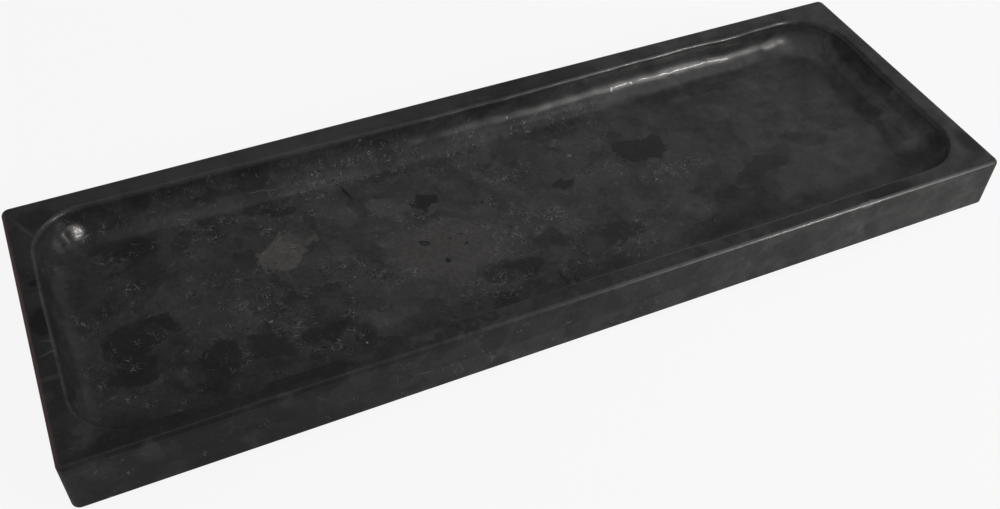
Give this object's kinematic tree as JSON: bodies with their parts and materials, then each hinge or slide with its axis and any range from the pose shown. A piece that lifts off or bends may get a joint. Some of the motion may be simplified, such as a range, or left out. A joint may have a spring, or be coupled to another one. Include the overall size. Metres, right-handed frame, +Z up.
{
  "type": "stone vanity tray",
  "caption": "Shallow rectangular stone tray with a round-cornered, coved pocket cut into a solid slab, on small round pads, for toiletries or jewellery on a vanity top.",
  "frame": {"origin": "on the surface that the pads stand on, under the middle of the slab", "axes": "+X along the tray's length, to the right of someone who faces it; +Y to the back, where the rim is a little wider; +Z up out of the pocket"},
  "size_m": [0.305, 0.102, 0.0213],
  "materials": {
    "black_stone": "satin",
    "pad_rubber": "matte",
    "pad_adhesive": "matte"
  },
  "bodies": {
    "root": {"stone_tray_body": "black_stone", "pad_front_left": "pad_rubber", "pad_front_right": "pad_rubber", "pad_back_left": "pad_rubber", "pad_back_right": "pad_rubber", "pad_adhesive_front_left": "pad_adhesive", "pad_adhesive_front_right": "pad_adhesive", "pad_adhesive_back_left": "pad_adhesive", "pad_adhesive_back_right": "pad_adhesive"}
  },
  "joints": []
}
